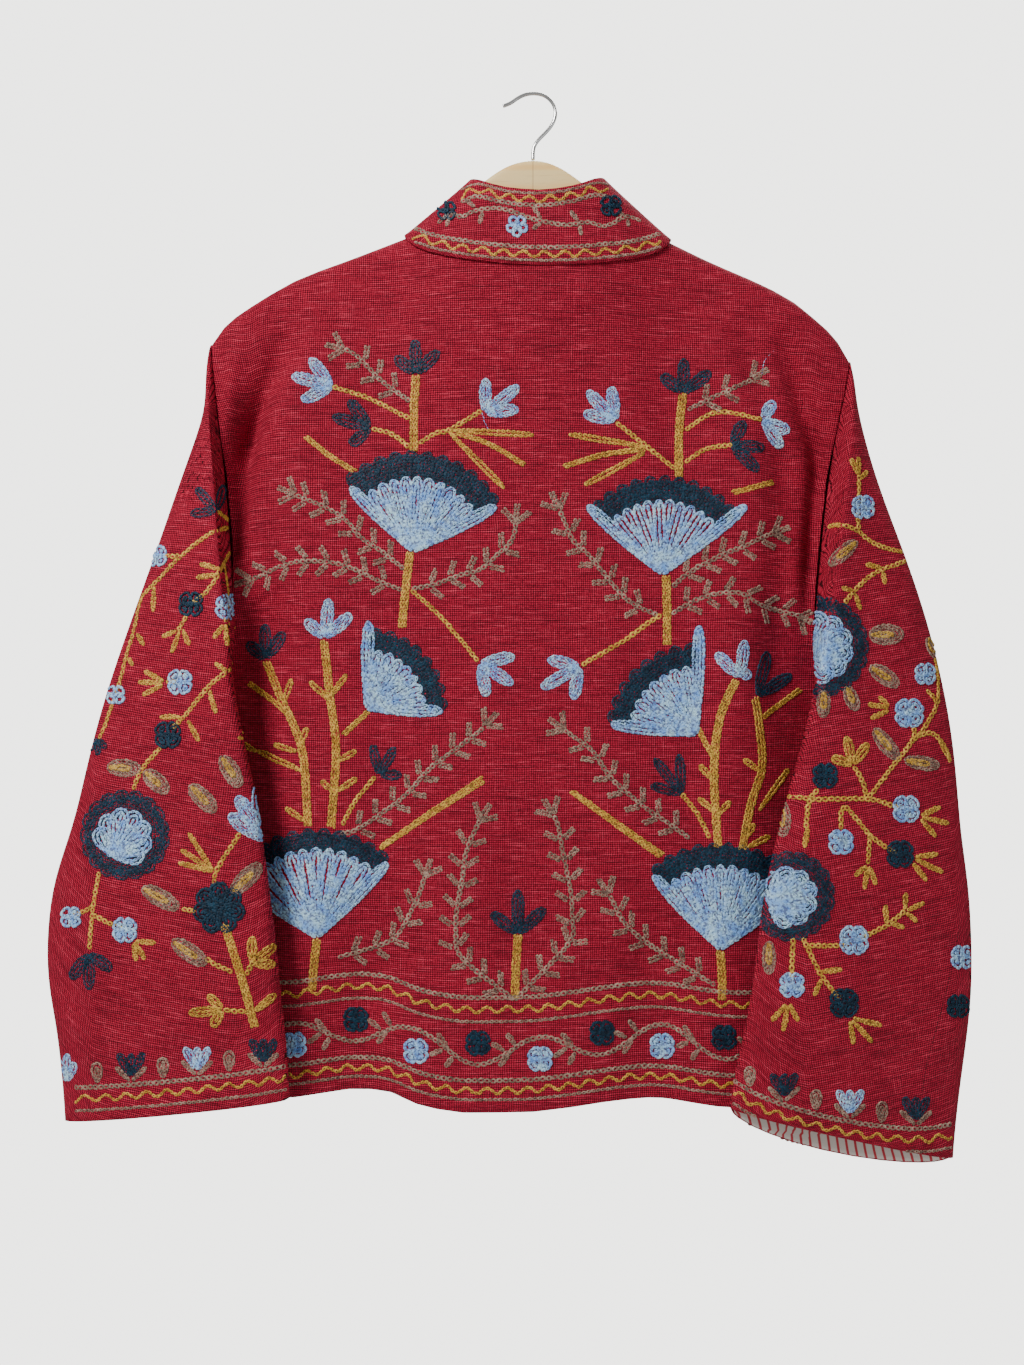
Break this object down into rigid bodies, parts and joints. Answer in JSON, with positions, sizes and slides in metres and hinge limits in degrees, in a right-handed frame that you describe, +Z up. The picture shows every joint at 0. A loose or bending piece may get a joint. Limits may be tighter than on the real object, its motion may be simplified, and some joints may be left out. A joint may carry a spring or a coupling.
{
  "type": "suzani jacket on a wooden hanger",
  "caption": "Short boxy jacket with a band collar and wide sleeves, covered with chain-stitched flowers, hung from a wooden hanger with a wire hook.",
  "frame": {"origin": "inside of the top of the hook's bend, where a peg carries it", "axes": "+Z up; the jacket's back faces -Y and its fronts face +Y; the wearer's left is at -X"},
  "size_m": [0.6855, 0.0979, 0.8018],
  "materials": {
    "crimson_cloth": "slubbed hand-loomed cotton with chain-stitch embroidery",
    "striped_cotton": "thin cotton with narrow red and off-white stripes",
    "pale_wood": "smooth clear-lacquered",
    "bright_wire": "polished round wire"
  },
  "bodies": {
    "root": {"back": "crimson_cloth", "front_left": "crimson_cloth", "front_right": "crimson_cloth", "collar": "crimson_cloth", "sleeve_left": "crimson_cloth", "sleeve_right": "crimson_cloth", "cuff_facing_right": "striped_cotton", "hanger_wood": "pale_wood", "hanger_hook": "bright_wire"}
  },
  "joints": []
}
